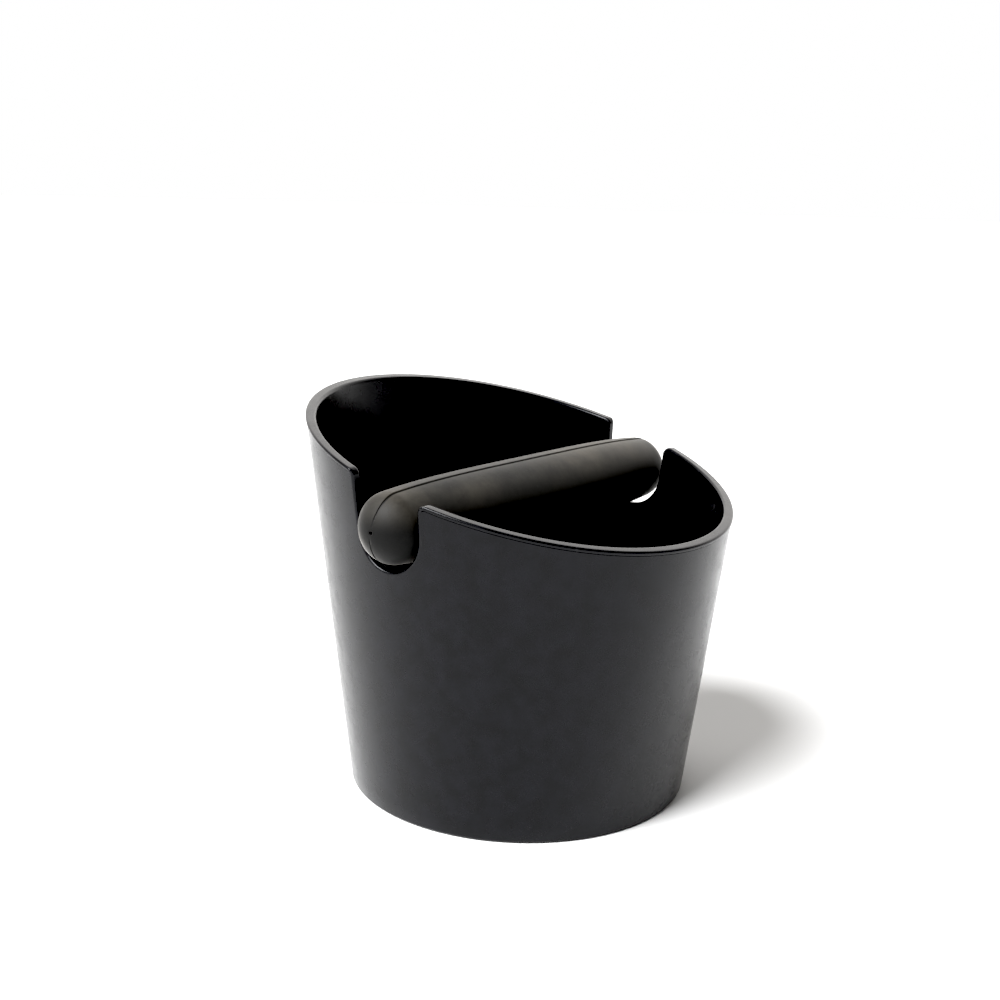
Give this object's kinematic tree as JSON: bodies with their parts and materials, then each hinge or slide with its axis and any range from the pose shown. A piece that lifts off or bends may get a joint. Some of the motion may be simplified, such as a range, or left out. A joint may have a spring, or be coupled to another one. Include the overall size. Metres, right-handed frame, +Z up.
{
  "type": "espresso knock box",
  "caption": "Tapered round tub with a slanted rim and open notches that hold a rubber-sleeved bar, for knocking spent coffee out of a portafilter.",
  "frame": {"origin": "centre of the tub's round base, on the worktop that the grip ring stands on", "axes": "+Z up along the tub's own axis, X along the knock bar, +Y towards the tall side of the slanted rim"},
  "size_m": [0.172, 0.1627, 0.1496],
  "materials": {
    "tub_plastic": "satin black moulded plastic with a fine even grain",
    "base_rubber": "matte black rubber",
    "core_steel": "plain bright steel, hidden inside the sleeve",
    "bar_rubber": "matte black rubber with a dusty bloom and a mould parting line"
  },
  "bodies": {
    "tub": {"tub": "tub_plastic", "base_grip_ring": "base_rubber"},
    "knock_bar": {"bar_core_rod": "core_steel", "bar_sleeve": "bar_rubber"}
  },
  "joints": [
    {"name": "knock_bar_lift", "type": "slide", "parent": "tub", "child": "knock_bar", "axis": [0, 0, 1], "range_m": [0, 0.056]}
  ]
}
